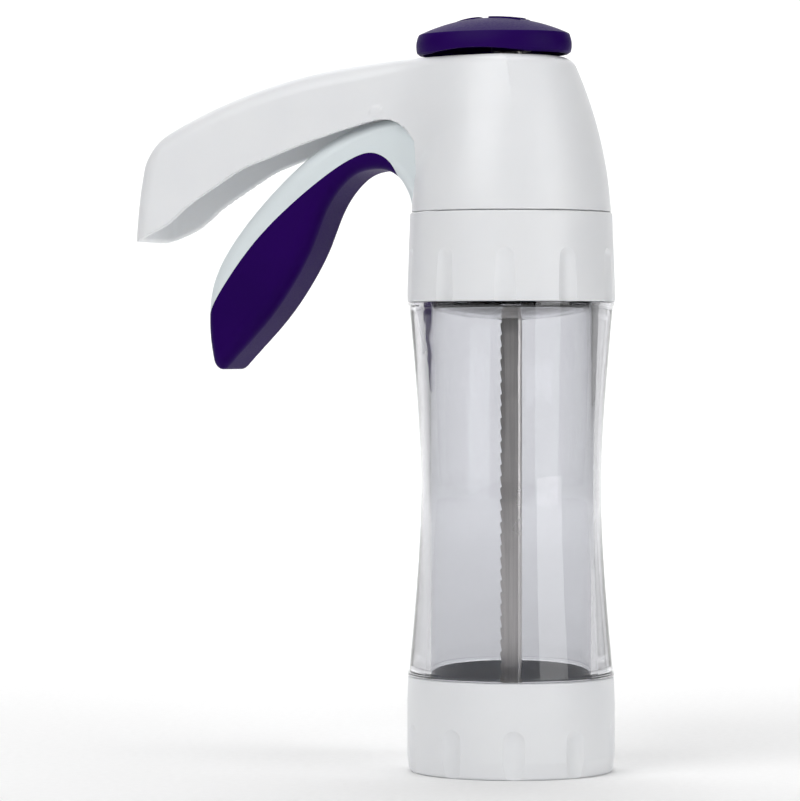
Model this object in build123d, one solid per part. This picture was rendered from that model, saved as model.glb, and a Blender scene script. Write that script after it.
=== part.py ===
"""A hand cookie press: a clear barrel between two threaded collars, under a head with a fixed handle.

Frame, in millimetres: +Z is up along the barrel's axis, with the origin at the centre of the mouth in the
lower collar, on the plane the press stands on. The handle and the trigger point along -X. The XZ plane is
the plane of symmetry of the casings. At rest the plunger is right down and the trigger is released.
"""

from build123d import *
import os
from math import cos, radians, sin, sqrt

# ---- driving dimensions ----
BORE_R = 24.2             # inside of the barrel, straight, so that the plunger can slide
BARREL_END_R = 30.5       # outside of the barrel at both collars
BARREL_WAIST_R = 27.0     # outside of the barrel at its waist
BARREL_LOW_Z = 28.8       # where the clear outside starts above the lower collar
BARREL_HIGH_Z = 140.2     # where it ends below the upper collar
COLLAR_R = 31.1           # both collars, at their widest
HEAD_SEAM_Z = 167.2       # the casing's lower edge, on the upper collar
HEAD_TOP_Z = 213.6        # flat top of the casing
HEAD_BASE_R = 29.9
HEAD_SIDE_ARC_R = 126.0   # the casing's side is one big arc in profile
HEAD_ARC_CENTRE_Z = 160.0
WALL = 2.4                # moulded walls of the casing
HANDLE_HALF = 14.0        # half the width of the fixed handle
LEVER_HALF = 11.0         # half the width of the trigger's core
PIVOT = (-21.0, 184.0)    # trigger pivot, X and Z
TOOTH_PITCH = 3.6         # the rod moves one tooth for each squeeze
ROD_WIDTH = 6.4           # along X, teeth included
ROD_THICK = 2.4           # along Y

# ---- threads, the same on both collars: right-handed, one start ----
THREAD_PITCH = 4.0
NECK_R = 26.9             # outside of the barrel's two necks
THREAD_DEPTH = 1.2
COLLAR_BORE_R = 28.5      # inside of the collars around the necks
THREAD_BASE = 1.6         # ridge width at its root
THREAD_CREST = 0.8
LOWER_THREAD_Z = 10.0     # where the ridges on the barrel's necks start
UPPER_THREAD_Z = 145.0
ROOT_BITE = 0.3           # how far a ridge's root runs into the wall that carries it
BARREL_THREAD_TURNS = 1.25
COLLAR_THREAD_TURNS = 0.75

# ---- barrel ends ----
NECK_LOW_Z = 4.7          # lower end face, on the cookie disc
NECK_HIGH_Z = 155.4       # upper end face, under the chassis flange
BEAD_R = 30.9             # thin bead at each end of the clear outside
BEAD_H = 0.9

# ---- lower collar and disc ----
MOUTH_R = 22.4            # opening the dough leaves through
MOUTH_LIP = 2.9           # thickness of the lip that carries the disc
DISC_R = 25.8
DISC_T = 1.7
DISC_PETALS = 8

# ---- grip flutes in both collars ----
FLUTES = 10
FLUTE_R = 6.0             # radius of the round cutter
FLUTE_DEPTH = 1.1
FLUTE_HALF_WIDTH = 3.5
LOWER_FLUTE_TOP_Z = 14.6
UPPER_FLUTE_TOP_Z = 157.0
LOWER_FLUTE_PHASE = 4.0   # degrees, where the first flute stands
UPPER_FLUTE_PHASE = -1.0

# ---- handle, in the XZ plane ----
HANDLE_EDGE_R = 6.5       # rounding along the handle's top and down its end
END_TOP_R = 3.0           # rounding between the handle's top and its end, in the side view
HANDLE_TOP = [
    (-14, 214.0), (-34.3, 213.5), (-48.7, 212.1), (-67.6, 208.4), (-89.1, 201.8), (-104.4, 195.0),
    (-115.6, 189.0),
]
HANDLE_END_MID = (-118.6, 174.0)
HANDLE_RIM = [
    (-120.0, 158.9), (-108.5, 163.9), (-100.9, 169.8), (-91.5, 175.7), (-82.1, 181.1), (-72.7, 184.5),
    (-61.1, 188.6), (-46.5, 192.9), (-36.5, 195.1), (-30.1, 193.3), (-25.4, 188.4),
]

# ---- trigger, in the XZ plane ----
TRIGGER_TOP = [(-95.7, 138.0), (-94.0, 147.5), (-85.3, 162.1), (-71.9, 176.5), (-60.0, 186.3), (-47.5, 193.1)]
TRIGGER_FRONT = [
    (-29.1, 168.2), (-29.4, 171.1), (-30.7, 174.2), (-33.6, 178.2), (-38.5, 180.4), (-42.9, 180.4),
    (-47.2, 179.2), (-51.4, 176.1), (-56.7, 169.0), (-61.4, 158.0), (-67.4, 147.0), (-75.5, 135.9),
    (-86.3, 124.6), (-92.8, 117.6),
]
TRIGGER_TIP = (-95.1, 127.0)
TIP_R = 2.5               # rounding of the tip, below
TRIGGER_EDGE_R = 4.5      # rounding along both sides of the blade
GRIP_SEAM = [             # runs a little past the trigger at both ends
    (-97.0, 134.0), (-92.8, 140.8), (-78.8, 159.4), (-67.6, 169.8), (-56.7, 178.1), (-46.6, 184.0),
    (-40.9, 185.4), (-37.4, 184.4), (-33.2, 177.4),
]
CORE_INNER_X = -25.3      # where the broad blade ends, inside the head
TONGUE = [
    (-88.0, 150.5), (-87.0, 137.5), (-81.0, 137.5), (-71.5, 150.0), (-66.0, 162.0), (-60.0, 172.0),
    (-56.0, 181.5), (-66.0, 174.5), (-78.0, 162.5),
]
TONGUE_HALF = 6.0
FORK_IN = 3.8             # the fork's two plates stand between these half-widths
FORK_OUT = 7.3

# ---- chassis ----
RUNNING = 0.05            # radial clearance of what turns on a pin or in a bush
DRUM_WALL = 2.4
FLOOR_T = 2.6
PLUG_R = 23.9             # stands in the top of the bore
PLUG_LOW_Z = 139.0        # lower edge of the plug
PLUG_DOME = 2.6           # its floor sags by this much in the middle
FLANGE_R = 28.0
FLANGE_LOW_Z = 155.6
FLANGE_HIGH_Z = 158.4
SPIGOT_R = 26.0
BOSS_R = 9.4
BOSS_LOW_Z = 150.2
CHEEK_OUT = 10.4
CHEEK_T = 2.6
CHEEK_MID_Y = CHEEK_OUT - CHEEK_T / 2
CHEEK_NOSE_R = 3.8
SPRING_BAR = (-15.8, 173.6)
KNOB_TURN_DEG = 90.0
STOP_GAP_DEG = 12.0       # from the lug's centre to the centre of the stop that it meets
LUG_REST_DEG = -45.0      # where the guide's lug stands with the teeth to the pawl
SCREW_RING_R = 16.5
SCREW_R = 1.5
SCREW_LENGTH = 12.0
POST_R = 3.2
ROD_HOLE_R = 4.2

# ---- rod guide ----
GUIDE_R = 6.4
GUIDE_HEAD_R = 7.4
CLIP_LOW_Z = 149.0
CLIP_T = 1.0
CLIP_GROOVE_R = 5.6
WIPER_R = 4.6
WIPER_T = 1.4

# ---- pawl and springs ----
PIN_R = 2.0               # trigger pivot pin
DRIVE_PAWL_PIN = (-10.4, 185.6)
PAWL_TIP_X = -3.8         # just clear of the turning rod
PAWL_PIN_R = 1.25
PAWL_HALF = 3.0
LEAF_X = -13.4
SPRING_R = 3.1
SPRING_WIRE_R = 0.5
SPRING_TURNS = 4.25
SPRING_PITCH = 1.3
SPRING_BAR_LEG = 9.5
SPRING_TRIGGER_LEG = 4.0

# ---- rod ----
ROD_LOW_Z = 6.4
ROD_HIGH_Z = 222.0
TEETH_LOW_Z = 20.0
TEETH_HIGH_Z = 200.0
TOOTH_DEPTH = 0.6
TOOTH_BEVEL = 1.6
BACK_BEVEL = 0.5          # chamfers of the rod's plain edge
CROSS_PIN_R = 1.0
KNOB_PIN_Z = 219.5
PLUNGER_PIN_Z = 13.0

# ---- knob ----
KNOB_LOW_Z = 214.5
KNOB_CREASE_Z = 220.6
KNOB_TOP_Z = 225.6
KNOB_MID_X = -5.6
KNOB_HALF_LENGTH = 24.0
KNOB_HALF_WIDTH = 18.0
KNOB_WALL = 1.9
KNOB_ARCH = 1.2           # the long sides of the rim are hollowed for the fingers
KNOB_ARCH_R = 100.0
KNOB_BOSS_R = 6.0
KNOB_MARK_H = 0.45

# ---- plunger ----
PLUNGER_R = 23.9
PLUNGER_LOW_Z = 5.0
SKIRT_H = 8.0
HUB_R = 6.0
PLUNGER_RECESS = 1.6
PLUNGER_RIBS = 8


def xz(points):
    """Points given as (X, Z) in the plane of symmetry."""
    return [Vector(x, 0, z) for x, z in points]


def slab(outline, half_width, centre=0.0):
    """A closed outline in the XZ plane, made into a solid that is 2 x half_width wide along Y."""
    start = Pos(0, centre - half_width, 0) * outline
    return extrude(start, amount=2 * half_width, dir=(0, 1, 0))


def rod_along_y(x, z, radius, low_y, high_y):
    """A round bar along Y."""
    return Pos(x, (low_y + high_y) / 2, z) * Rot(90, 0, 0) * Cylinder(radius, high_y - low_y)


def tube_z(outer, inner, low, high):
    """A plain ring about the Z axis."""
    body = Pos(0, 0, (low + high) / 2) * Cylinder(outer, high - low)
    return body - Pos(0, 0, (low + high) / 2) * Cylinder(inner, high - low + 2)


def bar_z(x, y, radius, low, high):
    """A round bar along Z."""
    return Pos(x, y, (low + high) / 2) * Cylinder(radius, high - low)


def side_edges(body, half_width):
    """The edges that run round the two flat sides of a slab."""
    return [e for e in body.edges() if abs(e.center().Y) > half_width - 0.1]


def helical_ridge(root_r, crest_r, low_z, turns, start_deg):
    """A thread ridge. It points outwards if crest_r is over root_r, and inwards if not."""
    outwards = 1 if crest_r > root_r else -1
    bitten = root_r - outwards * ROOT_BITE
    path = Helix(THREAD_PITCH, THREAD_PITCH * turns, root_r)
    section = Polyline(
        (bitten, 0, -THREAD_BASE / 2),
        (crest_r, 0, -THREAD_CREST / 2),
        (crest_r, 0, THREAD_CREST / 2),
        (bitten, 0, THREAD_BASE / 2),
        close=True,
    )
    ridge = sweep(make_face(section), path=path, is_frenet=True)
    return Pos(0, 0, low_z) * Rot(0, 0, start_deg) * ridge


# ------------------------------------------------------------------ barrel and collars
def barrel():
    """Clear barrel: straight inside, waisted outside, with a threaded neck at each end."""
    mid_z = (BARREL_LOW_Z + BARREL_HIGH_Z) / 2
    half = (BARREL_HIGH_Z - BARREL_LOW_Z) / 2 - BEAD_H
    shoulder_r = BARREL_WAIST_R + 0.53 * (BARREL_END_R - BARREL_WAIST_R)
    side = Spline(
        (BARREL_END_R, 0, mid_z - half),
        (shoulder_r, 0, mid_z - 0.66 * half),
        (BARREL_WAIST_R, 0, mid_z),
        (shoulder_r, 0, mid_z + 0.66 * half),
        (BARREL_END_R, 0, mid_z + half),
    )
    low = Polyline(
        (BARREL_END_R, 0, mid_z - half),
        (BEAD_R, 0, mid_z - half),
        (BEAD_R, 0, BARREL_LOW_Z),
        (NECK_R, 0, BARREL_LOW_Z),
        (NECK_R, 0, NECK_LOW_Z + 1),
        (NECK_R - 1, 0, NECK_LOW_Z),
        (BORE_R, 0, NECK_LOW_Z),
    )
    high = Polyline(
        (BORE_R, 0, NECK_LOW_Z),
        (BORE_R, 0, NECK_HIGH_Z),
        (NECK_R - 1, 0, NECK_HIGH_Z),
        (NECK_R, 0, NECK_HIGH_Z - 1),
        (NECK_R, 0, BARREL_HIGH_Z),
        (BEAD_R, 0, BARREL_HIGH_Z),
        (BEAD_R, 0, mid_z + half),
        (BARREL_END_R, 0, mid_z + half),
    )
    body = revolve(make_face(low + high + side), Axis.Z)
    for low_z in (LOWER_THREAD_Z, UPPER_THREAD_Z):
        body += helical_ridge(NECK_R, NECK_R + THREAD_DEPTH, low_z, BARREL_THREAD_TURNS, 0)
    return body


def flutes(top_z, low_z, phase):
    """The cutters for the round grip flutes, which run out of the collar's lower edge."""
    axis_r = COLLAR_R - FLUTE_DEPTH + FLUTE_R
    cut_z = top_z - FLUTE_HALF_WIDTH
    tool = bar_z(axis_r, 0, FLUTE_R, low_z - 5, cut_z) + Pos(axis_r, 0, cut_z) * Sphere(FLUTE_R)
    return [Rot(0, 0, phase + 360 / FLUTES * i) * tool for i in range(FLUTES)]


def outer_rims(body, z):
    """The collar's outer circular edges at the height z."""
    circles = body.edges().filter_by(GeomType.CIRCLE)
    return [e for e in circles if e.radius > COLLAR_R - 0.9 and abs(e.center().Z - z) < 0.1]


def disc_ring():
    """Lower collar: screws onto the barrel and holds the cookie disc on its lip."""
    high = BARREL_LOW_Z - 0.2
    outline = Polyline(
        (MOUTH_R, 0, 0), (COLLAR_R - 0.6, 0, 0), (COLLAR_R, 0, 5), (COLLAR_R, 0, high - 8),
        (COLLAR_R - 0.3, 0, high), (COLLAR_BORE_R, 0, high), (COLLAR_BORE_R, 0, MOUTH_LIP + 2.4),
        (DISC_R + 0.3, 0, MOUTH_LIP + 1.4), (DISC_R + 0.3, 0, MOUTH_LIP), (MOUTH_R, 0, MOUTH_LIP), close=True,
    )
    body = revolve(make_face(outline), Axis.Z)
    body = fillet(outer_rims(body, 0), 1.2)
    body = fillet(outer_rims(body, high), 0.5)
    for tool in flutes(LOWER_FLUTE_TOP_Z, 0, LOWER_FLUTE_PHASE):
        body -= tool
    start = LOWER_THREAD_Z + THREAD_PITCH / 2
    return body + helical_ridge(COLLAR_BORE_R, COLLAR_BORE_R - THREAD_DEPTH, start, COLLAR_THREAD_TURNS, 0)


def barrel_collar():
    """Upper collar: turns captive on the chassis and draws the barrel up to its flange."""
    low, high = BARREL_HIGH_Z + 0.2, HEAD_SEAM_Z - 0.2
    lip_low = FLANGE_HIGH_Z + 0.3
    outline = Polyline(
        (COLLAR_BORE_R, 0, low), (COLLAR_R, 0, low), (COLLAR_R, 0, low + 4), (COLLAR_R - 0.8, 0, high),
        (SPIGOT_R + RUNNING, 0, high), (SPIGOT_R + RUNNING, 0, lip_low), (COLLAR_BORE_R, 0, lip_low),
        close=True,
    )
    body = revolve(make_face(outline), Axis.Z)
    body = fillet(outer_rims(body, low) + outer_rims(body, high), 0.5)
    for tool in flutes(UPPER_FLUTE_TOP_Z, low, UPPER_FLUTE_PHASE):
        body -= tool
    crest_r = COLLAR_BORE_R - THREAD_DEPTH
    return body + helical_ridge(COLLAR_BORE_R, crest_r, UPPER_THREAD_Z, COLLAR_THREAD_TURNS, 180)


def cookie_disc():
    """Stamped disc with a flower of long petals around a small centre hole."""
    plate = bar_z(0, 0, DISC_R, MOUTH_LIP + 0.05, MOUTH_LIP + 0.05 + DISC_T)
    petal = extrude(Pos(10.0, 0, MOUTH_LIP - 1) * SlotOverall(9.5, 3.4), amount=DISC_T + 3)
    for i in range(DISC_PETALS):
        plate -= Rot(0, 0, 360 / DISC_PETALS * i) * petal
    return plate - bar_z(0, 0, 1.9, MOUTH_LIP - 1, MOUTH_LIP + DISC_T + 2)


# ------------------------------------------------------------------ head
def handle_top(inset):
    """The handle's top line from the head to its end, moved inwards by the inset."""
    line = Spline(*xz(HANDLE_TOP), tangents=(Vector(-1, 0, 0), Vector(-0.80, 0, -0.60)))
    if inset == 0:
        return line
    steps = len(HANDLE_TOP) * 2
    moved = []
    for i in range(steps + 1):
        point, along = line @ (i / steps), line % (i / steps)
        moved.append(point + Vector(-along.Z, 0, along.X) * inset)
    return Spline(*moved)


def handle_end(top, inset):
    """The handle's end line, from its top down to the height of the rim."""
    places = [(x + inset, z) for x, z in (HANDLE_END_MID, HANDLE_RIM[0])]
    return ThreePointArc(top @ 1, *xz(places))


def round_handle_edges(body, half_width, inset):
    """Rounds the end's top corner, then the long edges of the top and of the end."""
    top_corner = handle_top(inset) @ 1
    corner = [e for e in body.edges() if (e.center() - top_corner).length < half_width / 2]
    body = fillet(corner, END_TOP_R - inset)
    end_x = HANDLE_END_MID[0] + 5
    middles = [(e, e.center()) for e in side_edges(body, half_width)]
    edges = [e for e, mid in middles if mid.X < -30 and mid.Z > 140 and (mid.Z > 196 or mid.X < end_x)]
    return fillet(edges, HANDLE_EDGE_R - inset)


def handle_blank():
    """The handle's outer shape, solid, running into the head."""
    top = handle_top(0)
    rim = Spline(*xz(HANDLE_RIM))
    back = Polyline(rim @ 1, *xz([(-18, 176), (0, 176)]), top @ 0)
    blank = slab(make_face(top + handle_end(top, 0) + rim + back), HANDLE_HALF)
    return round_handle_edges(blank, HANDLE_HALF, 0)


def handle_channel():
    """The hollow inside the handle, open below."""
    top = handle_top(WALL)
    end = handle_end(top, WALL)
    floor = Polyline(end @ 1, *xz([((end @ 1).X, 140), (-12, 140), (-12, HEAD_TOP_Z - WALL)]), top @ 0)
    channel = slab(make_face(top + end + floor), HANDLE_HALF - WALL)
    return round_handle_edges(channel, HANDLE_HALF - WALL, WALL)


def head_profile(inset, low, high):
    """Half of the round head's outline in the XZ plane, from its axis."""
    arc_r = HEAD_SIDE_ARC_R - inset
    centre_x = HEAD_BASE_R - sqrt(HEAD_SIDE_ARC_R**2 - (HEAD_SEAM_Z - HEAD_ARC_CENTRE_Z) ** 2)

    def side(z):
        return Vector(centre_x + sqrt(arc_r**2 - (z - HEAD_ARC_CENTRE_Z) ** 2), 0, z)

    wall = ThreePointArc(side(low), side((low + high) / 2), side(high))
    rest = Polyline(side(high), Vector(0, 0, high), Vector(0, 0, low), side(low))
    return make_face(wall + rest)


def screw_places():
    """Where the three casing screws stand, in plan."""
    return [(SCREW_RING_R * cos(radians(a)), SCREW_RING_R * sin(radians(a))) for a in (0, 120, 240)]


def head_casing():
    """One moulding: the round head, and the handle as a channel that is open below."""
    dome = revolve(head_profile(0, HEAD_SEAM_Z, HEAD_TOP_Z), Axis.Z)
    rim = [e for e in dome.edges().filter_by(GeomType.CIRCLE) if e.center().Z > HEAD_TOP_Z - 0.1]
    dome = fillet(rim, 3.0)
    outer = dome + handle_blank()
    hollow = revolve(head_profile(WALL, HEAD_SEAM_Z - 5, HEAD_TOP_Z - WALL), Axis.Z)
    hollow = fillet([e for e in hollow.edges().filter_by(GeomType.CIRCLE)
                     if e.center().Z > HEAD_TOP_Z - WALL - 0.1], 2.0)
    casing = outer - handle_channel() - hollow - bar_z(0, 0, ROD_HOLE_R, HEAD_TOP_Z - 5, HEAD_TOP_Z + 2)
    posts = [bar_z(x, y, POST_R, FLANGE_HIGH_Z, HEAD_TOP_Z - 1) for x, y in screw_places()]
    casing += [post & dome_filler() for post in posts]
    for x, y in screw_places():
        casing -= bar_z(x, y, SCREW_R - 0.25, FLANGE_HIGH_Z - 1, FLANGE_HIGH_Z + SCREW_LENGTH)
    return casing


def dome_filler():
    """Everything under the outer skin of the head, down to the chassis flange."""
    return revolve(head_profile(0.5, HEAD_ARC_CENTRE_Z - 10, HEAD_TOP_Z - 0.5), Axis.Z)


def casing_screws():
    """Three pan-head screws, up through the chassis flange into the casing's posts."""
    screws = []
    for x, y in screw_places():
        screw = bar_z(x, y, SCREW_R - 0.3, FLANGE_LOW_Z, FLANGE_HIGH_Z + SCREW_LENGTH - 1)
        head = fillet_top(bar_z(x, y, SCREW_R * 1.65, FLANGE_LOW_Z - 2.0, FLANGE_LOW_Z), 0.8, low=True)
        cross = Pos(x, y, FLANGE_LOW_Z - 2.0) * (Box(3.0, 0.7, 1.6) + Box(0.7, 3.0, 1.6))
        screws.append(screw + head - cross)
    return Compound(screws)


def fillet_top(body, radius, low=False):
    """Rounds the upper (or lower) circular edge of an upright round bar."""
    circles = body.edges().filter_by(GeomType.CIRCLE).sort_by(Axis.Z)
    return fillet(circles[0] if low else circles[-1], radius)


# ------------------------------------------------------------------ chassis and plug
def cheeks_outline():
    """Side view of the two upright cheeks that carry the trigger's pin."""
    x, z = PIVOT
    nose = ThreePointArc(
        Vector(x - CHEEK_NOSE_R, 0, z), Vector(x - CHEEK_NOSE_R * 0.707, 0, z + CHEEK_NOSE_R * 0.707),
        Vector(x, 0, z + CHEEK_NOSE_R),
    )
    rest = Polyline(
        nose @ 1, Vector(x + 6, 0, z + CHEEK_NOSE_R), Vector(-4, 0, 172), Vector(4, 0, FLANGE_HIGH_Z),
        Vector(-19.5, 0, FLANGE_HIGH_Z), Vector(-19.5, 0, HEAD_SEAM_Z + 0.6),
        Vector(x - CHEEK_NOSE_R, 0, HEAD_SEAM_Z + 3), nose @ 0,
    )
    return make_face(nose + rest)


def chassis():
    """Carries the upper collar, the trigger and the rod's guide, and closes the top of the barrel."""
    body = bar_z(0, 0, FLANGE_R, FLANGE_LOW_Z, FLANGE_HIGH_Z)
    body += tube_z(SPIGOT_R, SPIGOT_R - DRUM_WALL, FLANGE_HIGH_Z - 0.5, HEAD_SEAM_Z)
    body += bar_z(0, 0, BOSS_R, BOSS_LOW_Z, FLANGE_LOW_Z + 0.5)
    body += tube_z(PLUG_R - DRUM_WALL - 0.1, PLUG_R - 2 * DRUM_WALL, FLANGE_LOW_Z - 4, FLANGE_LOW_Z + 0.5)
    for side in (-1, 1):
        body += slab(cheeks_outline(), CHEEK_T / 2, side * CHEEK_MID_Y)
    x, z = SPRING_BAR
    body += Pos(x, 0, z) * Box(2.4, 2 * CHEEK_MID_Y, 3.6)
    for angle in (LUG_REST_DEG - STOP_GAP_DEG, LUG_REST_DEG + KNOB_TURN_DEG + STOP_GAP_DEG):
        body += Rot(0, 0, angle) * Pos(GUIDE_HEAD_R + 1.3, 0, FLANGE_HIGH_Z + 0.6) * Box(1.6, 1.4, 2.4)
    body -= bar_z(0, 0, GUIDE_R + RUNNING, BOSS_LOW_Z - 1, FLANGE_HIGH_Z + 1)
    body -= rod_along_y(*PIVOT, PIN_R, -20, 20)
    for sx, sy in screw_places():
        body -= bar_z(sx, sy, SCREW_R + 0.2, FLANGE_LOW_Z - 1, FLANGE_HIGH_Z + 1)
    return body


def bore_plug():
    """Clear cup with a sagging floor; it fills the top of the bore and keeps dough out of the mechanism."""
    mid_r = PLUG_R / 2
    centre_z = PLUG_LOW_Z - PLUG_DOME
    inner_r = PLUG_R - DRUM_WALL
    floor = ThreePointArc((0, 0, centre_z), (mid_r, 0, centre_z + PLUG_DOME / 4), (PLUG_R, 0, PLUG_LOW_Z))
    wall = Polyline(
        (PLUG_R, 0, PLUG_LOW_Z), (PLUG_R, 0, FLANGE_LOW_Z), (inner_r, 0, FLANGE_LOW_Z),
        (inner_r, 0, PLUG_LOW_Z + FLOOR_T),
    )
    top = ThreePointArc(
        (inner_r, 0, PLUG_LOW_Z + FLOOR_T), (mid_r, 0, centre_z + FLOOR_T + PLUG_DOME / 4),
        (0, 0, centre_z + FLOOR_T),
    )
    axis = Line((0, 0, centre_z + FLOOR_T), (0, 0, centre_z))
    body = revolve(make_face(floor + wall + top + axis), Axis.Z)
    circles = body.edges().filter_by(GeomType.CIRCLE)
    rim = [e for e in circles if abs(e.center().Z - PLUG_LOW_Z) < 0.1 and e.radius > PLUG_R - 0.1]
    body = fillet(rim, 1.2)
    body += bar_z(0, 0, ROD_HOLE_R + 1.8, centre_z + 1, centre_z + FLOOR_T + 2.5)
    return body - bar_z(0, 0, ROD_HOLE_R, centre_z - 1, centre_z + FLOOR_T + 4)


# ------------------------------------------------------------------ trigger
def trigger_body():
    """Outer shape of the trigger's blade, core and grip together, rounded for the fingers."""
    front = Spline(*xz(TRIGGER_FRONT))
    top = Spline(*xz(TRIGGER_TOP))
    tip = Spline(front @ 1, *xz([TRIGGER_TIP]), top @ 0)
    inner_points = [(-32, 196), (CORE_INNER_X, PIVOT[1] + 7), (CORE_INNER_X, TRIGGER_FRONT[0][1])]
    inner = Polyline(top @ 1, *xz(inner_points), front @ 0)
    body = slab(make_face(front + tip + top + inner), LEVER_HALF)
    corner = [e for e in body.edges() if (e.center() - front @ 1).length < LEVER_HALF / 2]
    body = fillet(corner, TIP_R)
    return fillet([e for e in side_edges(body, LEVER_HALF) if e.center().X < -45], TRIGGER_EDGE_R)


def grip_side():
    """Everything on the grip's side of the seam between core and grip."""
    seam = Spline(*xz(GRIP_SEAM))
    first, last = GRIP_SEAM[0], GRIP_SEAM[-1]
    around = [(last[0], 100), (first[0] - 10, 100), (first[0] - 10, first[1])]
    outside = Polyline(seam @ 1, *xz(around), seam @ 0)
    return slab(make_face(seam + outside), LEVER_HALF + 5)


def tongue():
    """Blade of the core that stands inside the grip."""
    return slab(make_face(Polyline(*xz(TONGUE), close=True)), TONGUE_HALF)


def lever_core():
    """The trigger: a broad blade outside the head, and a fork that reaches in to the drive pawl."""
    blade = trigger_body() - grip_side()
    x, z = PIVOT
    blade -= rod_along_y(x, z, CHEEK_NOSE_R + 0.8, -20, 20)
    px, pz = DRIVE_PAWL_PIN
    fork = Polyline(*xz([(-30, z - 8), (x - 3, z - 4.4), (x, z - 4.2), (px, pz - 3.0), (px, pz + 3.0),
                         (x + 5, z + 6.6), (x - 5, z + 7.0), (-30, z + 8)]), close=True)
    arm = slab(make_face(fork), FORK_OUT) + rod_along_y(px, pz, 3.0, -FORK_OUT, FORK_OUT)
    arm += rod_along_y(x, z, 4.2, -FORK_OUT, FORK_OUT)
    gap = Pos((px + CORE_INNER_X) / 2 + 5, 0, z) * Box(px - CORE_INNER_X + 9.8, 2 * FORK_IN, 40)
    body = blade + (arm - gap) + tongue()
    body += Pos(LEAF_X - 1.1, 0, pz + 4.0) * Box(1.6, 2 * FORK_IN + 1, 2.4)
    body -= rod_along_y(x, z, PIN_R + RUNNING, -20, 20)
    return body - rod_along_y(px, pz, PAWL_PIN_R, -20, 20)


def lever_grip():
    """Soft grip moulded on the trigger's finger side."""
    return (trigger_body() & grip_side()) - tongue()


def lever_pin():
    """Steel pin through both cheeks."""
    return rod_along_y(*PIVOT, PIN_R, -CHEEK_OUT + 0.1, CHEEK_OUT - 0.1)


def lever_spring():
    """Torsion spring on the trigger's pin; it pushes the trigger down and away from the handle."""
    coil = Helix(SPRING_PITCH, SPRING_PITCH * SPRING_TURNS, SPRING_R)
    to_bar = Line((coil @ 0) - (coil % 0) * SPRING_BAR_LEG, coil @ 0)
    to_trigger = Line(coil @ 1, (coil @ 1) + (coil % 1) * SPRING_TRIGGER_LEG)
    path = to_bar + coil + to_trigger
    wire = sweep(Plane(origin=path @ 0, z_dir=path % 0) * Circle(SPRING_WIRE_R), path=path)
    x, z = PIVOT
    return Pos(x, SPRING_PITCH * SPRING_TURNS / 2, z) * Rot(90, 0, 0) * wire


def drive_pawl():
    """Pawl that pushes the rod down by one tooth for each squeeze."""
    px, pz = DRIVE_PAWL_PIN
    tip_z = pz - 6.2
    finger = [
        (px, pz - 2.8), (px - 0.6, tip_z + 1.2), (PAWL_TIP_X - 1.2, tip_z - 0.9), (PAWL_TIP_X, tip_z),
        (PAWL_TIP_X, tip_z + 1.3), (px + 2.6, pz + 1.0), (px, pz + 2.8), (px - 2.6, pz),
    ]
    outline = Polyline(*xz(finger), close=True)
    body = slab(make_face(outline), PAWL_HALF) + rod_along_y(px, pz, 2.8, -PAWL_HALF, PAWL_HALF)
    return body - rod_along_y(px, pz, PAWL_PIN_R + RUNNING, -20, 20)


def drive_pawl_pin():
    """Steel pin that carries the drive pawl in the trigger's fork."""
    return rod_along_y(*DRIVE_PAWL_PIN, PAWL_PIN_R, -FORK_OUT + 0.1, FORK_OUT - 0.1)


def pawl_leaf():
    """Leaf spring that presses the pawl to the rod."""
    pz = DRIVE_PAWL_PIN[1]
    return Pos(LEAF_X - 0.1, 0, pz - 0.5) * Box(0.35, 4.0, 11.4)


# ------------------------------------------------------------------ rod, knob and plunger
def rod_slot(clearance, low, high):
    """The rod's cross-section, with a clearance all round."""
    return Pos(0, 0, (low + high) / 2) * Box(ROD_WIDTH + 2 * clearance, ROD_THICK + 2 * clearance, high - low)


def rod_guide():
    """Bush that turns in the chassis and lets the rod slide: the knob can turn the teeth away with it."""
    body = bar_z(0, 0, GUIDE_R, BOSS_LOW_Z - 2.6, FLANGE_HIGH_Z + 0.3)
    body += bar_z(0, 0, GUIDE_HEAD_R, FLANGE_HIGH_Z + 0.2, FLANGE_HIGH_Z + 1.8)
    body += Rot(0, 0, LUG_REST_DEG) * Pos(GUIDE_HEAD_R + 0.6, 0, FLANGE_HIGH_Z + 1.0) * Box(2.4, 1.4, 1.6)
    body -= tube_z(GUIDE_R + 1, CLIP_GROOVE_R, CLIP_LOW_Z, CLIP_LOW_Z + CLIP_T)
    body -= bar_z(0, 0, WIPER_R, BOSS_LOW_Z - 3, BOSS_LOW_Z - 2.6 + WIPER_T)
    return body - rod_slot(0.12, BOSS_LOW_Z - 4, FLANGE_HIGH_Z + 3)


def guide_clip():
    """Open retaining clip under the chassis boss."""
    ring = tube_z(GUIDE_R + 1.8, CLIP_GROOVE_R + 0.02, CLIP_LOW_Z + 0.05, CLIP_LOW_Z + CLIP_T - 0.05)
    return ring - Pos(GUIDE_R, 0, CLIP_LOW_Z) * Box(8, 5.0, 6)


def rod_wiper():
    """Rubber disc that grips the rod lightly and wipes it."""
    disc = bar_z(0, 0, WIPER_R, BOSS_LOW_Z - 2.6, BOSS_LOW_Z - 2.6 + WIPER_T)
    return disc - rod_slot(0.05, BOSS_LOW_Z - 4, BOSS_LOW_Z + 2)


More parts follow.
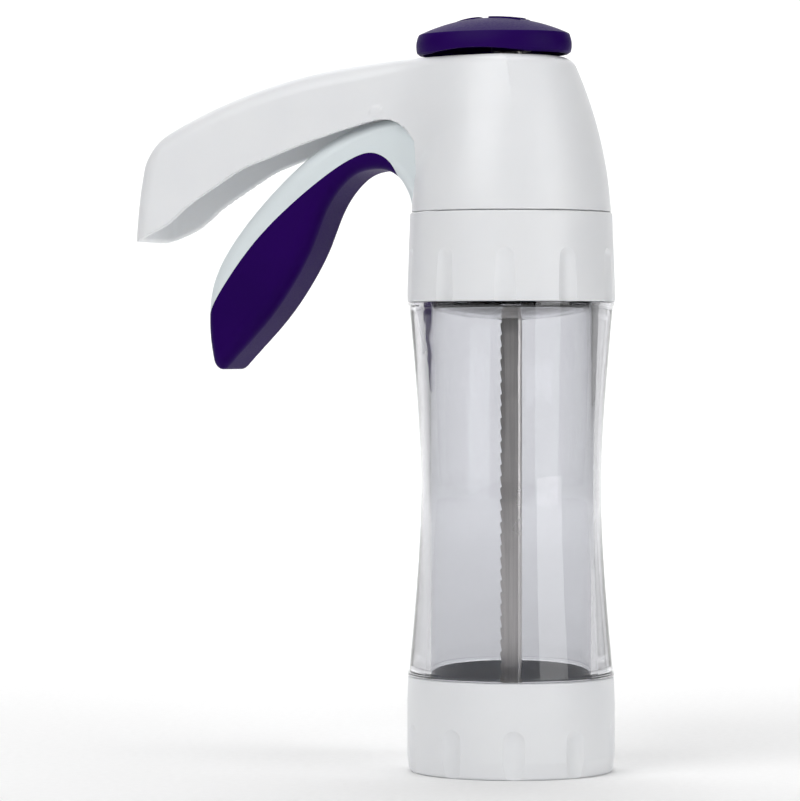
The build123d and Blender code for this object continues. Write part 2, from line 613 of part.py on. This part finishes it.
def toothed_rod():
    """Flat steel bar with ratchet teeth down one edge."""
    body = rod_slot(0, ROD_LOW_Z, ROD_HIGH_Z)
    edge = -ROD_WIDTH / 2
    plain = [e for e in body.edges().filter_by(Axis.Z) if e.center().X > 0]
    body = chamfer(plain, BACK_BEVEL)
    bevel = [(edge - 1, 0.4), (edge + TOOTH_BEVEL, ROD_THICK / 2), (edge + TOOTH_BEVEL, 5), (edge - 1, 5)]
    for side in (-1, 1):
        outline = Polyline(*[(x, side * y, ROD_LOW_Z - 1) for x, y in bevel], close=True)
        body -= extrude(make_face(outline), amount=ROD_HIGH_Z - ROD_LOW_Z + 2, dir=(0, 0, 1))
    count = int((TEETH_HIGH_Z - TEETH_LOW_Z) / TOOTH_PITCH)
    notch = [(edge - 0.1, 0), (edge + TOOTH_DEPTH, 0.25), (edge - 0.1, TOOTH_PITCH - 0.5)]
    cutter = slab(make_face(Polyline(*xz(notch), close=True)), ROD_THICK)
    body -= [Pos(0, 0, TEETH_LOW_Z + TOOTH_PITCH * i) * cutter for i in range(count)]
    for z in (KNOB_PIN_Z, PLUNGER_PIN_Z):
        body -= rod_along_y(0, z, CROSS_PIN_R, -5, 5)
    return body


def oval(profile_face):
    """Turns a half-profile about the knob's own axis and squeezes it into an oval."""
    round_body = revolve(profile_face, Axis.Z)
    return Pos(KNOB_MID_X, 0, 0) * scale(round_body, by=(1, KNOB_HALF_WIDTH / KNOB_HALF_LENGTH, 1))


def knob_profile(inset, low):
    """Half of the knob's section along its length."""
    reach = KNOB_HALF_LENGTH - inset
    side = Polyline(Vector(0, 0, low), Vector(reach - 1.2, 0, low), Vector(reach - 0.3, 0, low + 0.6))
    wall = ThreePointArc(side @ 1, Vector(reach, 0, low + 2.6), Vector(reach - 0.8, 0, KNOB_CREASE_Z - inset))
    top_z = KNOB_TOP_Z - inset
    dome = ThreePointArc(wall @ 1, Vector(reach * 0.55, 0, top_z - 1.5), Vector(0, 0, top_z))
    return make_face(side + wall + dome + Line(dome @ 1, Vector(0, 0, low)))


def knob():
    """Hollow oval cap with a boss that takes the end of the rod."""
    shell = oval(knob_profile(0, KNOB_LOW_Z)) - oval(knob_profile(KNOB_WALL, KNOB_LOW_Z - 3))
    lip = Pos(KNOB_MID_X, 0, KNOB_LOW_Z - KNOB_ARCH_R + KNOB_ARCH) * Rot(90, 0, 0) * Cylinder(KNOB_ARCH_R, 80)
    shell -= lip
    boss = bar_z(0, 0, KNOB_BOSS_R, KNOB_LOW_Z + 0.8, KNOB_TOP_Z)
    body = shell + (boss & oval(knob_profile(0.4, KNOB_LOW_Z)))
    marks = [Pos(KNOB_MID_X + 5, y, KNOB_TOP_Z) * Box(10, 1.2, 12) for y in (-4, 0, 4)]
    arrow = Polyline((KNOB_MID_X - 4, -5), (KNOB_MID_X - 12, 0), (KNOB_MID_X - 4, 5), close=True)
    marks.append(Pos(0, 0, KNOB_TOP_Z - 6) * extrude(make_face(arrow), amount=12))
    raised = Pos(0, 0, KNOB_MARK_H) * oval(knob_profile(0, KNOB_LOW_Z + 2))
    low_cut = Pos(0, 0, KNOB_CREASE_Z - 10) * Box(80, 80, 20)
    body += [(mark & raised) - low_cut - oval(knob_profile(1, KNOB_LOW_Z)) for mark in marks]
    body -= rod_slot(0.02, KNOB_LOW_Z - 2, ROD_HIGH_Z + 0.02)
    return body - rod_along_y(0, KNOB_PIN_Z, CROSS_PIN_R, -8, 8)


def knob_pin():
    """Cross pin through the knob's boss and the rod."""
    return rod_along_y(0, KNOB_PIN_Z, CROSS_PIN_R, -KNOB_BOSS_R + 0.5, KNOB_BOSS_R - 0.5)


def plunger():
    """Piston with a shallow ribbed recess on top and a hub for the rod."""
    body = bar_z(0, 0, PLUNGER_R, PLUNGER_LOW_Z, PLUNGER_LOW_Z + SKIRT_H)
    body = fillet_top(body, 0.6, low=True)
    top_z = PLUNGER_LOW_Z + SKIRT_H
    body -= bar_z(0, 0, PLUNGER_R - 1.2, top_z - PLUNGER_RECESS, top_z + 1)
    body += bar_z(0, 0, HUB_R, PLUNGER_LOW_Z + 1, top_z + 1.2)
    rib_length = PLUNGER_R - HUB_R - 0.8
    for i in range(PLUNGER_RIBS):
        middle = Pos(HUB_R + rib_length / 2 - 0.2, 0, top_z - PLUNGER_RECESS)
        rib = middle * Box(rib_length, 1.4, PLUNGER_RECESS)
        body += Rot(0, 0, 22.5 + 360 / PLUNGER_RIBS * i) * rib
    body -= rod_slot(0.02, ROD_LOW_Z - 0.02, 40)
    return body - rod_along_y(0, PLUNGER_PIN_Z, CROSS_PIN_R, -HUB_R - 1, HUB_R + 1)


def plunger_pin():
    """Cross pin through the plunger's hub and the rod."""
    return rod_along_y(0, PLUNGER_PIN_Z, CROSS_PIN_R, -HUB_R + 0.2, HUB_R - 0.2)


PARTS = {
    "head_casing": head_casing, "casing_screws": casing_screws, "chassis": chassis, "bore_plug": bore_plug,
    "lever_pin": lever_pin, "lever_core": lever_core, "lever_grip": lever_grip, "lever_spring": lever_spring,
    "drive_pawl": drive_pawl, "drive_pawl_pin": drive_pawl_pin, "pawl_leaf": pawl_leaf,
    "rod_guide": rod_guide, "guide_clip": guide_clip, "rod_wiper": rod_wiper, "toothed_rod": toothed_rod,
    "knob": knob, "knob_pin": knob_pin, "plunger": plunger, "plunger_pin": plunger_pin,
    "barrel_collar": barrel_collar, "barrel": barrel, "disc_ring": disc_ring, "cookie_disc": cookie_disc,
}


def main():
    """Writes one STEP file for each piece."""
    os.makedirs("parts", exist_ok=True)
    for name, make in PARTS.items():
        export_step(make(), f"parts/{name}.step")


if __name__ == "__main__":
    main()
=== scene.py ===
"""Hand cookie press: materials, a smooth moulded head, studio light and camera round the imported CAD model.

Lengths are in metres, apart from the head's shape, which is worked out in millimetres."""
import bpy
import math
import numpy as np
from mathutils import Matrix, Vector

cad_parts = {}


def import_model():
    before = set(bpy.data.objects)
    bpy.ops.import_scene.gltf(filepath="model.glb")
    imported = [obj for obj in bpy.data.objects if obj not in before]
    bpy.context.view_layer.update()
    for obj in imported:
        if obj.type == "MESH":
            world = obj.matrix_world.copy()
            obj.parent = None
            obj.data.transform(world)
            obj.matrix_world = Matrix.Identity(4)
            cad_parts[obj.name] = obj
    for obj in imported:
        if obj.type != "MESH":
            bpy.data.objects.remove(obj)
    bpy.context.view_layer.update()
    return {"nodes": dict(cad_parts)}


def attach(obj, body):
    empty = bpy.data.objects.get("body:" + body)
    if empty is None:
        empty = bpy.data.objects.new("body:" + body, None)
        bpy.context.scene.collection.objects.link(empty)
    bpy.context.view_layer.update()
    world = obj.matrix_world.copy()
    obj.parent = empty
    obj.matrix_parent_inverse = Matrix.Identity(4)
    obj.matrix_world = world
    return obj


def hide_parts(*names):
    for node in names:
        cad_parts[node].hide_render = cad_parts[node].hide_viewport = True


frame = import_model()
NODES = frame["nodes"]
MM = 0.001


# ------------------------------------------------------------------ node helpers
MIX_FACTOR, MIX_A, MIX_B, MIX_COLOUR = 0, 6, 7, 2      # where a Mix node keeps its colour sockets


class Nodes:
    """Short calls for building one material's node tree."""

    def __init__(self, name):
        self.material = bpy.data.materials.new(name)
        self.material.use_nodes = True
        self.tree = self.material.node_tree
        self.shader = self.tree.nodes["Principled BSDF"]

    def set(self, **values):
        for socket, value in values.items():
            self.shader.inputs[socket.replace("_", " ")].default_value = value
        return self

    def add(self, kind, inputs=None, **properties):
        node = self.tree.nodes.new("ShaderNode" + kind)
        for key, value in properties.items():
            setattr(node, key, value)
        for key, value in (inputs or {}).items():
            if isinstance(value, bpy.types.NodeSocket):
                self.tree.links.new(value, node.inputs[key])
            else:
                node.inputs[key].default_value = value
        return node

    def place(self, scale=(1, 1, 1)):
        """Object coordinates, stretched."""
        coords = self.add("TexCoord").outputs["Object"]
        return self.add("Mapping", {"Vector": coords, "Scale": scale}).outputs["Vector"]

    def noise(self, vector, scale, detail=3.0, roughness=0.5):
        """A noise pattern with about scale features to the metre."""
        inputs = {"Vector": vector, "Scale": scale, "Detail": detail, "Roughness": roughness}
        return self.add("TexNoise", inputs).outputs["Fac"]

    def ramp(self, value, low, high, a, b):
        """Moves from a to b as value goes from low to high."""
        inputs = {"Value": value, "From Min": low, "From Max": high, "To Min": a, "To Max": b}
        return self.add("MapRange", inputs).outputs["Result"]

    def tones(self, pattern, dark, light, low=0.3, high=0.7):
        """Base colour that moves between two tones with a pattern."""
        node = self.add("Mix", data_type="RGBA")
        self.tree.links.new(self.ramp(pattern, low, high, 0.0, 1.0), node.inputs[MIX_FACTOR])
        node.inputs[MIX_A].default_value = (*dark, 1)
        node.inputs[MIX_B].default_value = (*light, 1)
        return self.link(node.outputs[MIX_COLOUR], "Base Color")

    def roughness(self, pattern, smooth, rough, low=0.3, high=0.7):
        """Roughness that moves between two values with a pattern."""
        return self.link(self.ramp(pattern, low, high, smooth, rough), "Roughness")

    def bump(self, height, strength, distance, normal=None):
        inputs = {"Height": height, "Strength": strength, "Distance": distance}
        if normal is not None:
            inputs["Normal"] = normal
        return self.add("Bump", inputs).outputs["Normal"]

    def link(self, output, socket):
        self.tree.links.new(output, self.shader.inputs[socket])
        return self


# ------------------------------------------------------------------ materials
def shade(colour, amount):
    return tuple(channel * amount for channel in colour)


def moulded_white(name, light, dark, roughness):
    """Satin injection-moulded plastic: faint cloudiness, fine spark texture, slow ripples."""
    m = Nodes(name)
    at = m.place()
    m.tones(m.noise(at, scale=45.0, detail=4.0), dark, light, low=0.35, high=0.65)
    grain = m.noise(at, scale=3800.0, detail=2.0)
    m.roughness(grain, roughness - 0.03, roughness + 0.05)
    ripples = m.bump(m.noise(at, scale=60.0, detail=1.0), strength=0.04, distance=0.0006)
    m.link(m.bump(grain, strength=0.10, distance=0.00002, normal=ripples), "Normal")
    m.set(IOR=1.5, Subsurface_Weight=0.06, Subsurface_Scale=0.003, Subsurface_Radius=(1.0, 0.9, 0.8))
    return m.material


def purple(name, light, dark, roughness, grain_scale, grain_depth, shine):
    """Moulded purple: colour drifts a little, with a fine matt grain."""
    m = Nodes(name)
    at = m.place()
    m.tones(m.noise(at, scale=30.0), dark, light, low=0.35, high=0.65)
    grain = m.noise(at, scale=grain_scale, detail=2.0, roughness=0.6)
    m.roughness(grain, roughness - 0.05, roughness + 0.08)
    m.link(m.bump(grain, strength=0.25, distance=grain_depth), "Normal")
    m.set(IOR=1.5, Specular_IOR_Level=shine)
    return m.material


def brushed_steel(name, colour, stretch, roughness=0.32):
    """Steel with fine lines along one axis."""
    m = Nodes(name)
    lines = m.noise(m.place(stretch), scale=900.0, detail=4.0, roughness=0.65)
    m.tones(lines, shade(colour, 0.72), colour)
    m.roughness(m.noise(m.place(), scale=90.0), roughness - 0.06, roughness + 0.08)
    m.link(m.bump(lines, strength=0.25, distance=0.00003), "Normal")
    m.set(Metallic=1.0)
    return m.material


def clear_plastic():
    """Clear styrene-like plastic with a faint cool grey tint and light wear."""
    m = Nodes("clear plastic")
    haze = m.noise(m.place((1, 1, 0.15)), scale=260.0, detail=4.0)
    m.roughness(haze, 0.015, 0.07, low=0.45, high=0.8)
    m.set(Base_Color=(0.745, 0.75, 0.775, 1), Transmission_Weight=1.0, IOR=1.49)
    return m.material


def plain_rubber(name, colour):
    """Matt rubber with a fine grain."""
    m = Nodes(name)
    grain = m.noise(m.place(), scale=2500.0, detail=2.0)
    m.tones(grain, shade(colour, 0.8), colour)
    m.link(m.bump(grain, strength=0.2, distance=0.00002), "Normal")
    m.set(Roughness=0.6)
    return m.material


WHITE = moulded_white("white shell", (0.84, 0.85, 0.865), (0.82, 0.83, 0.85), roughness=0.34)
# painted shade: the chassis gets a darker, cooler copy of the shell white because it sits in shade inside
# the head
INNER_WHITE_PAINTED_SHADE = moulded_white("white inner painted shade", (0.80, 0.82, 0.845), (0.78, 0.80, 0.83), roughness=0.38)
# painted shade: the trigger gets a darker, bluer copy of the shell white because it sits in shade between
# the handle's walls
TRIGGER_WHITE_PAINTED_SHADE = moulded_white("trigger white painted shade", (0.76, 0.82, 0.84), (0.74, 0.80, 0.82), roughness=0.30)
GRIP = purple("grip purple", (0.019, 0.0001, 0.092), (0.016, 0.0001, 0.080), roughness=0.44,
              grain_scale=2600.0, grain_depth=0.00002, shine=0.04)
KNOB = purple("knob purple", (0.019, 0.0002, 0.094), (0.015, 0.0002, 0.080), roughness=0.46,
              grain_scale=1500.0, grain_depth=0.00006, shine=0.07)
CLEAR = clear_plastic()
STEEL = brushed_steel("plain steel", (0.60, 0.59, 0.57), stretch=(1, 1, 1))
ROD_STEEL = brushed_steel("rod steel", (0.93, 0.89, 0.85), stretch=(1, 1, 0.02))
ACETAL = moulded_white("acetal", (0.70, 0.70, 0.68), (0.67, 0.67, 0.65), roughness=0.4)
PLUNGER = moulded_white("plunger white", (0.94, 0.945, 0.955), (0.91, 0.92, 0.935), roughness=0.25)
DISC = brushed_steel("stamped disc", (0.72, 0.72, 0.71), stretch=(1, 0.05, 1), roughness=0.28)
WIPER = plain_rubber("wiper rubber", (0.22, 0.22, 0.23))

LOOKS = {               # every node that isn't named here is plain steel
    "head_casing": WHITE, "barrel_collar": WHITE, "disc_ring": WHITE,
    "chassis": INNER_WHITE_PAINTED_SHADE, "lever_core": TRIGGER_WHITE_PAINTED_SHADE,
    "lever_grip": GRIP, "knob": KNOB,
    "barrel": CLEAR, "bore_plug": CLEAR,
    "toothed_rod": ROD_STEEL, "cookie_disc": DISC,
    "rod_guide": ACETAL, "plunger": PLUNGER, "rod_wiper": WIPER,
}
for node_name, node_object in NODES.items():
    look = LOOKS.get(node_name, STEEL)
    for material_slot in node_object.material_slots:
        material_slot.material = look


# ------------------------------------------------------------------ shapes as signed distances, in mm
TINY = 1e-6             # keeps a division from meeting zero


def round_max(a, b, radius):
    """Distance to what two shapes have in common, with the edge between them rounded."""
    inside = np.minimum(np.maximum(a, b), -radius)
    return inside + np.hypot(np.maximum(a + radius, 0), np.maximum(b + radius, 0))


def smooth_min(a, b, reach):
    """Distance to two shapes together, with the inner corner between them filled."""
    overlap = np.maximum(reach - np.abs(a - b), 0) / np.maximum(reach, TINY)
    return np.minimum(a, b) - overlap * overlap * reach / 4


def step(value, low, high):
    """Smooth step from 0 at low to 1 at high."""
    t = np.clip((value - low) / (high - low), 0, 1)
    return t * t * (3 - 2 * t)


def curve_points(points, parts=8):
    """Points on a smooth curve through the given points, which repeats both ends to start and stop there."""
    p = np.array([points[0]] + points + [points[-1]], float)
    out = []
    for i in range(1, len(p) - 2):
        for t in np.arange(parts) / parts:
            straight = 2 * p[i] + (p[i + 1] - p[i - 1]) * t
            bend = (2 * p[i - 1] - 5 * p[i] + 4 * p[i + 1] - p[i + 2]) * t**2
            twist = (3 * p[i] - p[i - 1] - 3 * p[i + 1] + p[i + 2]) * t**3
            out.append(0.5 * (straight + bend + twist))
    return out + [p[-2]]


def outline_distance(x, z, outline):
    """Signed distance to a closed outline in the XZ plane, negative inside."""
    x, z = np.broadcast_arrays(x, z)
    nearest = np.full(x.shape, np.inf)
    inside = np.zeros(x.shape, bool)
    for (ax, az), (bx, bz) in zip(outline, outline[1:] + outline[:1]):
        ex, ez = bx - ax, bz - az
        length = ex * ex + ez * ez
        if length < TINY * TINY:
            continue
        t = np.clip(((x - ax) * ex + (z - az) * ez) / length, 0, 1)
        nearest = np.minimum(nearest, (x - ax - t * ex) ** 2 + (z - az - t * ez) ** 2)
        if az != bz:
            inside ^= ((az > z) != (bz > z)) & (x < ax + (z - az) * ex / ez)
    return np.where(inside, -1, 1) * np.sqrt(nearest)


# ------------------------------------------------------------------ meshes from signed distances
PULLS = 4               # how often the vertices are pulled onto the surface
LEAST_SLOPE = 0.25      # square of the smallest gradient that a pull trusts


def net(values, low, cell):
    """Surface net of a sampled distance: one vertex in each cell that the surface crosses, and its quads."""
    cells_shape = tuple(n - 1 for n in values.shape)
    total = np.zeros(cells_shape + (3,))
    count = np.zeros(cells_shape)
    rings = []
    for axis in range(3):
        first = [slice(None)] * 3
        second = [slice(None)] * 3
        first[axis], second[axis] = slice(0, -1), slice(1, None)
        a, b = values[tuple(first)], values[tuple(second)]
        at = np.argwhere((a < 0) != (b < 0))
        va, vb = a[tuple(at.T)], b[tuple(at.T)]
        point = at.astype(float)
        point[:, axis] += va / (va - vb)
        u, v = [i for i in range(3) if i != axis]
        ring = []
        for back_u, back_v in ((0, 0), (1, 0), (1, 1), (0, 1)):
            cells = at.copy()
            cells[:, u] -= back_u
            cells[:, v] -= back_v
            ring.append(cells)
            np.add.at(total, tuple(cells.T), point)
            np.add.at(count, tuple(cells.T), 1)
        flip = (va < 0) == (axis == 1)
        rings.append((ring, flip))
    used = count > 0
    number = np.full(cells_shape, -1)
    number[used] = np.arange(used.sum())
    vertices = low + cell * total[used] / count[used][:, None]
    quads = []
    for ring, flip in rings:
        quad = np.stack([number[tuple(cells.T)] for cells in ring], axis=1)
        quad[flip] = quad[flip][:, ::-1]
        quads.append(quad)
    return vertices, np.concatenate(quads)


def slope(shape, p, reach=0.02):
    """Gradient of a distance at many points."""
    parts = []
    for axis in range(3):
        ahead, behind = p.copy(), p.copy()
        ahead[:, axis] += reach
        behind[:, axis] -= reach
        parts.append((shape(*ahead.T) - shape(*behind.T)) / (2 * reach))
    return np.stack(parts, axis=1)


def moulding(name, shape, low, high, cell, material, body, *nodes):
    """Mesh of a shape given as a signed distance in mm, shown in place of CAD nodes."""
    axes = [np.arange(a, b + cell, cell) for a, b in zip(low, high)]
    values = shape(*np.meshgrid(*axes, indexing="ij", sparse=True))
    vertices, quads = net(values, np.array(low, float), cell)
    for _ in range(PULLS):
        gradient = slope(shape, vertices)
        length = np.maximum((gradient**2).sum(axis=1), LEAST_SLOPE)
        vertices -= np.clip(shape(*vertices.T) / length, -cell / 2, cell / 2)[:, None] * gradient
    normals = slope(shape, vertices)
    normals /= np.maximum(np.linalg.norm(normals, axis=1), TINY)[:, None]
    mesh = bpy.data.meshes.new(name)
    mesh.from_pydata((vertices * MM).tolist(), [], quads.tolist())
    mesh.polygons.foreach_set("use_smooth", [True] * len(mesh.polygons))
    mesh.normals_split_custom_set_from_vertices(normals.tolist())
    mesh.materials.append(material)
    piece = bpy.data.objects.new(name, mesh)
    bpy.context.scene.collection.objects.link(piece)
    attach(piece, body)
    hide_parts(*nodes)
    return piece


# ------------------------------------------------------------------ the head, in mm
WALL = 2.4
HEAD_TOP = 213.6
HEAD_SEAM = 167.2                   # the lower edge of the round part
HEAD_TOP_R = 3.0                    # rounding where its side meets the flat top
HEAD_SEAM_R = 0.3
HEAD_INNER_R = 2.0
DOME_SIDE_R = 126.0                 # the round part's side is one big arc in profile
DOME_CENTRE = (-95.9, 160.0)        # (radius, Z)
ROD_HOLE_R = 4.2
ROD_HOLE_EDGE_R = 0.3

HANDLE_HALF = 14.0
HANDLE_TOP_R = 5.5                  # rounding of the top's edges, reached from HEAD_TOP_R over TOP_R_SPAN
TOP_R_SPAN = (18.0, 45.0)           # distances behind the barrel's axis
TOP_STARTS_TO_FALL = 14.0           # the same
TOP_FALL = (0.00142, 9.85e-6)       # share of the distance squared and cubed
END_CENTRE = (24.4, 153.2)          # the handle's end is an arc too
END_R = 144.5
END_CORNER_R = 6.5
CHANNEL_END_X = -12.0
CHANNEL_RIM_R = 0.8
HOLLOW_REACH = 15.0                 # size of the soft hollow where the handle runs into the round part
HOLLOW_SPAN = (176.0, 200.0)        # heights over which it grows from nothing
LEAST_REACH = 0.01
RIM = [                             # lower edge of the handle's sides, from its end to the trigger's pivot
    (-120.0, 158.9), (-108.5, 163.9), (-100.9, 169.8), (-91.5, 175.7), (-82.1, 181.1), (-72.7, 184.5),
    (-61.1, 188.6), (-46.5, 192.9), (-36.5, 195.1), (-30.1, 193.3), (-25.4, 188.4),
]
FAR_BELOW_RIM = [(-25.0, 168.0), (60.0, 168.0), (60.0, 100.0), (-170.0, 100.0), (-170.0, 150.0)]
BELOW_RIM = [tuple(point) for point in curve_points(RIM)] + FAR_BELOW_RIM

MARK_AT = (-38.0, 197.0)            # a faint raised half round on both sides of the handle
MARK_R = 1.9
MARK_FOOT_R = 2.6
MARK_EDGE = 0.6
MARK_HEIGHT = 0.2

POST_TURNS = (0, 120, 240)          # screw posts
POST_CIRCLE_R = 16.5
POST_R = 3.2
POST_BOTTOM = 158.4
POST_INTO_WALL = 1.0
SCREW_BORE_R = 1.25
SCREW_BORE_TOP = 170.4

HEAD_LOW = (-121.5, -31.0, 157.5)   # box in which the head is meshed
HEAD_HIGH = (31.0, 31.0, 215.0)
HEAD_CELL = 0.75


def handle_mark(x, z):
    """Height of the mark on the handle's sides."""
    disc = 1 - step(np.hypot(x - MARK_AT[0], z - MARK_AT[1]), MARK_R, MARK_FOOT_R)
    return MARK_HEIGHT * disc * step(z, MARK_AT[1] - MARK_EDGE, MARK_AT[1])


def handle_top(x, z):
    """Distance above the flat top of the head and the falling top of the handle."""
    square, cube = TOP_FALL
    along = np.maximum(-TOP_STARTS_TO_FALL - x, 0)
    lean = 2 * square * along + 3 * cube * along**2
    return (z - HEAD_TOP + square * along**2 + cube * along**3) / np.sqrt(1 + lean**2)


def screw_posts(x, y, z, dome_side):
    """Posts for the casing screws, each with its bore from below."""
    posts = np.inf
    for turn in POST_TURNS:
        post_x = POST_CIRCLE_R * math.cos(math.radians(turn))
        post_y = POST_CIRCLE_R * math.sin(math.radians(turn))
        away = np.hypot(x - post_x, y - post_y)
        post = np.maximum(away - POST_R, POST_BOTTOM - z)
        post = np.maximum(post, np.maximum(dome_side, z - HEAD_TOP) + POST_INTO_WALL)
        bore = np.maximum(away - SCREW_BORE_R, z - SCREW_BORE_TOP)
        posts = np.minimum(posts, np.maximum(post, -bore))
    return posts


def head_shape(x, y, z):
    """Round head and open handle in one moulding, flowing into each other."""
    r = np.hypot(x, y)
    dome_side = np.hypot(r - DOME_CENTRE[0], z - DOME_CENTRE[1]) - DOME_SIDE_R
    top = handle_top(x, z)
    end = np.hypot(x - END_CENTRE[0], z - END_CENTRE[1]) - END_R
    side = np.abs(y) - HANDLE_HALF

    handle_side = np.maximum(round_max(side - handle_mark(x, z), end, END_CORNER_R), x)
    sides = smooth_min(dome_side, handle_side, LEAST_REACH + HOLLOW_REACH * step(z, *HOLLOW_SPAN))
    top_r = HEAD_TOP_R + (HANDLE_TOP_R - HEAD_TOP_R) * step(-x, *TOP_R_SPAN)
    above_rim = np.maximum(round_max(sides, top, top_r), -outline_distance(x, z, BELOW_RIM))
    dome = round_max(round_max(dome_side, z - HEAD_TOP, HEAD_TOP_R), HEAD_SEAM - z, HEAD_SEAM_R)
    whole = np.minimum(above_rim, dome)

    channel = round_max(np.maximum(top, end) + WALL, side + WALL, END_CORNER_R - WALL)
    channel = np.maximum(channel, x - CHANNEL_END_X)
    hollow = round_max(dome_side + WALL, z - HEAD_TOP + WALL, HEAD_INNER_R)
    shell = round_max(whole, -np.minimum(channel, hollow), CHANNEL_RIM_R)
    shell = np.minimum(shell, screw_posts(x, y, z, dome_side))
    return round_max(shell, ROD_HOLE_R - r, ROD_HOLE_EDGE_R)


moulding("head_casing_skin", head_shape, HEAD_LOW, HEAD_HIGH, HEAD_CELL, WHITE, "head", "head_casing")


# ------------------------------------------------------------------ stage, light and camera
VIEW_AZIMUTH = 22.0                 # degrees from the handle's side view towards the front
CAMERA_DISTANCE = 1.1835
CAMERA_HEIGHT = 0.126
CAMERA_SIDE = -0.0333
CAMERA_PITCH = -0.73
CAMERA_LENS = 177.5
SENSOR_WIDTH = 36.0
CAMERA_CLIP = (0.05, 20)

FLOOR_NEAR = -1.6
FLOOR_FAR = 1.6
BACKDROP_HALF_WIDTH = 3.0
BACKDROP_TOP = 3.0
BACKDROP_BEND_R = 0.5
BACKDROP_BEND_STEPS = 24

WORLD_LIGHT = 0.82
CAMERA_SIDE_LIGHT = 0.06
DIMMING = (0.62, 0.95)              # cosines from the camera's direction between which the world dims

MIDDLE = Vector((-0.02, 0, 0.12))   # of the press
LIGHTS = {                          # place in the camera's frame, target, size, watts
    "key": ((-0.9, -1.0, 1.1), MIDDLE, (1.2, 1.2), 15.2),
    "fill": ((1.0, -0.9, 0.5), MIDDLE, (0.9, 1.2), 8.0),
    "top": ((0, 0.2, 1.6), MIDDLE, (1.0, 1.0), 9.5),
    "backdrop wash": ((0, 0.9, 1.2), Vector((-0.45, 1.5, 0.1)), (2.0, 0.6), 14),
}


def turned(x, y, z=0.0):
    """A place given in the camera's frame, x to its right and y away from it."""
    turn = math.radians(VIEW_AZIMUTH)
    return Vector((x * math.cos(turn) - y * math.sin(turn), x * math.sin(turn) + y * math.cos(turn), z))


def stage():
    """Pale floor that curves up into a backdrop."""
    section = [(FLOOR_NEAR, 0.0), (FLOOR_FAR - BACKDROP_BEND_R, 0.0)]
    for i in range(1, BACKDROP_BEND_STEPS + 1):
        angle = math.pi / 2 * i / BACKDROP_BEND_STEPS
        section.append((FLOOR_FAR - BACKDROP_BEND_R * (1 - math.sin(angle)),
                        BACKDROP_BEND_R * (1 - math.cos(angle))))
    section.append((FLOOR_FAR, BACKDROP_TOP))
    vertices = [(x, y, z) for y, z in section for x in (-BACKDROP_HALF_WIDTH, BACKDROP_HALF_WIDTH)]
    faces = [(2 * i, 2 * i + 1, 2 * i + 3, 2 * i + 2) for i in range(len(section) - 1)]
    mesh = bpy.data.meshes.new("backdrop")
    mesh.from_pydata(vertices, [], faces)
    for face in mesh.polygons:
        face.use_smooth = True
    paper = Nodes("paper")
    paper.tones(paper.noise(paper.place(), scale=400.0), (0.90, 0.90, 0.90), (0.93, 0.93, 0.93))
    paper.set(Roughness=0.9)
    mesh.materials.append(paper.material)
    sweep = bpy.data.objects.new("backdrop", mesh)
    bpy.context.scene.collection.objects.link(sweep)
    sweep.rotation_euler = (0, 0, math.radians(VIEW_AZIMUTH))


def camera():
    """Long lens at the height of the barrel's middle, turned a little from the handle's side view."""
    data = bpy.data.cameras.new("camera")
    data.lens, data.sensor_width = CAMERA_LENS, SENSOR_WIDTH
    data.clip_start, data.clip_end = CAMERA_CLIP
    cam = bpy.data.objects.new("camera", data)
    bpy.context.scene.collection.objects.link(cam)
    cam.location = turned(CAMERA_SIDE, -CAMERA_DISTANCE, CAMERA_HEIGHT)
    cam.rotation_euler = (math.radians(90 + CAMERA_PITCH), 0, math.radians(VIEW_AZIMUTH))
    bpy.context.scene.camera = cam


def world():
    """Even white surroundings, dimmer on the camera's side so that the clear barrel keeps its depth."""
    surroundings = bpy.data.worlds.new("studio")
    surroundings.use_nodes = True
    tree = surroundings.node_tree
    direction = tree.nodes.new("ShaderNodeTexCoord")
    facing = tree.nodes.new("ShaderNodeVectorMath")
    facing.operation = "DOT_PRODUCT"
    facing.inputs[1].default_value = turned(0, -1)
    tree.links.new(direction.outputs["Generated"], facing.inputs[0])
    dim = tree.nodes.new("ShaderNodeMapRange")
    dim.inputs["From Min"].default_value, dim.inputs["From Max"].default_value = DIMMING
    dim.inputs["To Min"].default_value = WORLD_LIGHT
    dim.inputs["To Max"].default_value = CAMERA_SIDE_LIGHT
    tree.links.new(facing.outputs["Value"], dim.inputs["Value"])
    tree.links.new(dim.outputs["Result"], tree.nodes["Background"].inputs["Strength"])
    bpy.context.scene.world = surroundings


def area_light(name, place, target, size, power):
    """Soft rectangular lamp that points at its target."""
    data = bpy.data.lights.new(name, "AREA")
    data.shape, data.size, data.size_y = "RECTANGLE", size[0], size[1]
    data.energy = power
    lamp = bpy.data.objects.new(name, data)
    bpy.context.scene.collection.objects.link(lamp)
    lamp.location = turned(*place)
    lamp.rotation_mode = "QUATERNION"
    lamp.rotation_quaternion = (target - lamp.location).to_track_quat("-Z", "Y")


stage()
camera()
world()
for light_name, light in LIGHTS.items():
    area_light(light_name, *light)
bpy.context.scene.view_settings.view_transform = "Standard"
